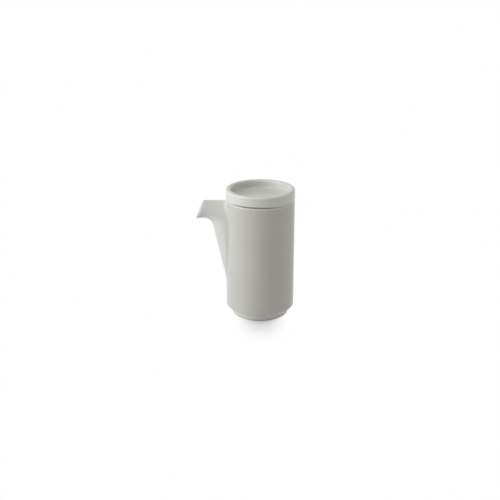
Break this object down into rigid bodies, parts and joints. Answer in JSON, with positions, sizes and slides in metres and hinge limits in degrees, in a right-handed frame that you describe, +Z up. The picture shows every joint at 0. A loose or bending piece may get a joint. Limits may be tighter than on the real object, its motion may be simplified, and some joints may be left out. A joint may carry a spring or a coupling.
{
  "type": "sauce jug",
  "caption": "Small straight-sided porcelain sauce jug with a stepped foot, a hollow beak spout on a long keel, and a loose lid with a dished top.",
  "frame": {"origin": "on the cup's axis, at the table under the foot ring", "axes": "+Z up along the cup's axis, the spout points to -X"},
  "size_m": [0.0867, 0.0606, 0.1147],
  "materials": {
    "glaze": "satin glaze, pale warm grey white"
  },
  "bodies": {
    "jug": {"jug_body": "glaze", "spout": "glaze"},
    "lid": {"lid": "glaze"}
  },
  "joints": [
    {"name": "lid_lift", "type": "slide", "parent": "jug", "child": "lid", "axis": [0, 0, 1], "range_m": [0, 0.06]}
  ]
}
